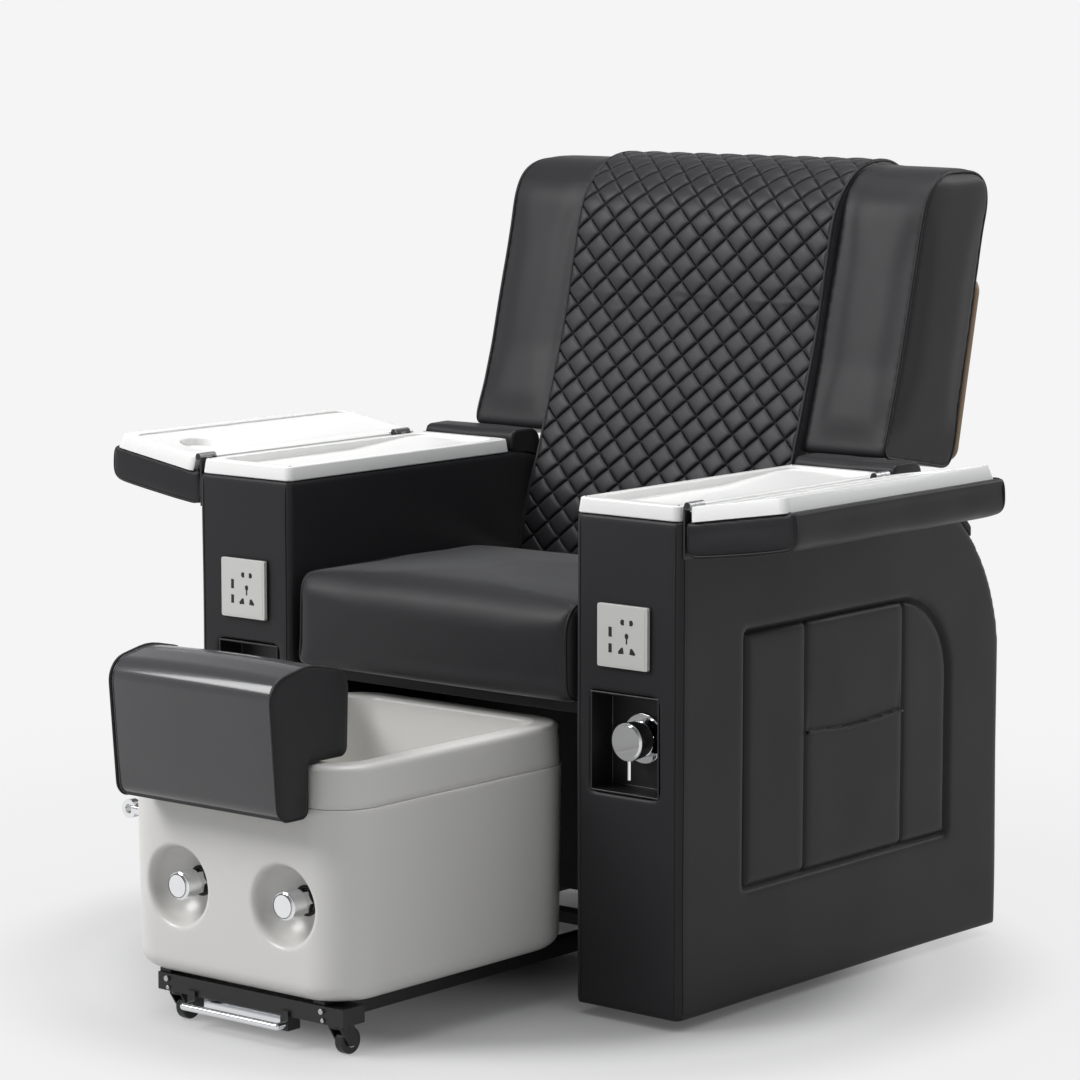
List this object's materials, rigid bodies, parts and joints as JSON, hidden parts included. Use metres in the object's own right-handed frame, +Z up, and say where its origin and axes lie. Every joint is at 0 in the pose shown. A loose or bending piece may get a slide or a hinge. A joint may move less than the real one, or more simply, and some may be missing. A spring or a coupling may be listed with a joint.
{
  "type": "pedicure spa chair",
  "caption": "Reclining pedicure chair with padded armrest boxes, fold-over trays, quilted massage back and a wheeled foot basin that slides under the seat.",
  "frame": {"origin": "middle of the bounding box at floor level, between the two armrest boxes", "axes": "+X to the sitter's left-hand armrest with the mixer tap, +Y towards the backrest, +Z up"},
  "size_m": [1.2568, 1.2995, 1.1458],
  "materials": {
    "charcoal_vinyl": "semi-matte upholstery vinyl, fine grain",
    "quilted_vinyl": "diamond-quilted upholstery vinyl",
    "footrest_vinyl": "glossy wipe-clean vinyl",
    "tan_vinyl": "tan upholstery vinyl",
    "white_gloss": "glossy white moulding",
    "basin_stone": "warm grey gel coat",
    "outlet_white": "white socket plate",
    "black_plastic": "black moulding",
    "black_steel": "black powder coat",
    "bright_steel": "zinc plated",
    "chrome": "polished chrome",
    "rubber": "matt black",
    "plywood": "bare plywood"
  },
  "bodies": {
    "chair": {"base_frame": "black_steel", "feet": "rubber", "left_arm": "charcoal_vinyl", "right_arm": "charcoal_vinyl", "left_tray": "white_gloss", "right_tray": "white_gloss", "left_ledge_pad": "charcoal_vinyl", "right_ledge_pad": "charcoal_vinyl", "left_side_panel": "charcoal_vinyl", "right_side_panel": "charcoal_vinyl", "left_outlet": "outlet_white", "right_outlet": "outlet_white", "left_niche": "black_plastic", "right_niche": "black_plastic", "flap_hinges": "bright_steel", "seat_rails": "black_steel", "seat_deck": "charcoal_vinyl", "seat_cushion": "charcoal_vinyl", "bulkhead": "black_steel", "rear_panel": "charcoal_vinyl", "back_brackets": "black_steel", "back_pivot_bolts": "bright_steel", "guide_channels": "bright_steel", "mixer_escutcheon": "chrome", "actuator_pin": "bright_steel"},
    "mixer_turn": {"mixer_stem": "chrome"},
    "mixer_lever": {"mixer_cap": "chrome", "mixer_pin": "chrome"},
    "actuator": {"actuator_housing": "black_plastic", "actuator_motor": "black_plastic"},
    "actuator_ram": {"actuator_rod": "bright_steel"},
    "backrest": {"back_frame": "black_steel", "back_board": "plywood", "massage_units": "black_plastic", "quilted_pad": "quilted_vinyl", "left_wing": "charcoal_vinyl", "right_wing": "charcoal_vinyl", "rear_cover": "tan_vinyl"},
    "left_flap": {"left_flap_tray": "white_gloss", "left_flap_pad": "charcoal_vinyl", "left_flap_leaf": "bright_steel"},
    "right_flap": {"right_flap_tray": "white_gloss", "right_flap_pad": "charcoal_vinyl", "right_flap_leaf": "bright_steel"},
    "basin": {"basin_shell": "basin_stone", "basin_tub": "basin_stone", "basin_drain": "chrome", "shower_holder": "chrome", "valve_seats": "chrome", "carriage_frame": "black_steel", "carriage_bolts": "chrome", "pull_bar": "chrome"},
    "left_valve": {"left_knob": "chrome"},
    "right_valve": {"right_knob": "chrome"},
    "caster_left": {"caster_fork_fl": "black_steel"},
    "wheel_left": {"caster_wheel_fl": "black_plastic"},
    "caster_right": {"caster_fork_fr": "black_steel"},
    "wheel_right": {"caster_wheel_fr": "black_plastic"},
    "footrest": {"footrest_pillow": "footrest_vinyl", "footrest_hook": "black_plastic"}
  },
  "joints": [
    {"name": "back_recline", "type": "hinge", "parent": "chair", "child": "backrest", "pos_m": [0, 0.311, 0.404], "axis": [-1, 0, 0], "range_deg": [0, 35]},
    {"name": "actuator_swing", "type": "hinge", "parent": "chair", "child": "actuator", "pos_m": [0, 0.477, 0.07], "axis": [-1, 0, 0], "range_deg": [0, 2.24]},
    {"name": "actuator_extend", "type": "slide", "parent": "actuator", "child": "actuator_ram", "axis": [0, -0.2471, 0.969], "range_m": [-0.0539, 0]},
    {"name": "left_flap_fold", "type": "hinge", "parent": "chair", "child": "left_flap", "pos_m": [-0.4505, -0.173, 0.716], "axis": [0, 1, 0], "range_deg": [0, 171]},
    {"name": "right_flap_fold", "type": "hinge", "parent": "chair", "child": "right_flap", "pos_m": [0.4505, -0.173, 0.716], "axis": [0, -1, 0], "range_deg": [0, 171]},
    {"name": "basin_slide", "type": "slide", "parent": "chair", "child": "basin", "axis": [0, 1, 0], "range_m": [0, 0.25]},
    {"name": "footrest_lift", "type": "slide", "parent": "basin", "child": "footrest", "axis": [0, 0, 1], "range_m": [0, 0.12]},
    {"name": "left_valve_turn", "type": "hinge", "parent": "basin", "child": "left_valve", "pos_m": [-0.097, -0.573, 0.196], "axis": [0, 1, 0], "range_deg": [0, 270]},
    {"name": "right_valve_turn", "type": "hinge", "parent": "basin", "child": "right_valve", "pos_m": [0.097, -0.573, 0.196], "axis": [0, 1, 0], "range_deg": [0, 270]},
    {"name": "mixer_heat", "type": "hinge", "parent": "chair", "child": "mixer_turn", "pos_m": [0.35, -0.147, 0.387], "axis": [0, 1, 0], "range_deg": [-45, 45]},
    {"name": "mixer_flow", "type": "hinge", "parent": "mixer_turn", "child": "mixer_lever", "pos_m": [0.35, -0.147, 0.387], "axis": [-1, 0, 0], "range_deg": [0, 12]},
    {"name": "caster_left_swivel", "type": "hinge", "parent": "basin", "child": "caster_left", "pos_m": [-0.125, -0.544, 0.04], "axis": [0, 0, 1], "continuous": true},
    {"name": "wheel_left_spin", "type": "hinge", "parent": "caster_left", "child": "wheel_left", "pos_m": [-0.125, -0.53, 0.018], "axis": [1, 0, 0], "continuous": true},
    {"name": "caster_right_swivel", "type": "hinge", "parent": "basin", "child": "caster_right", "pos_m": [0.168, -0.544, 0.04], "axis": [0, 0, 1], "continuous": true},
    {"name": "wheel_right_spin", "type": "hinge", "parent": "caster_right", "child": "wheel_right", "pos_m": [0.168, -0.53, 0.018], "axis": [1, 0, 0], "continuous": true}
  ],
  "couplings": [
    {"joint": "actuator_swing", "follows": "back_recline", "ratio": 0.06126},
    {"joint": "actuator_extend", "follows": "back_recline", "m_per_rad": -0.08738}
  ]
}
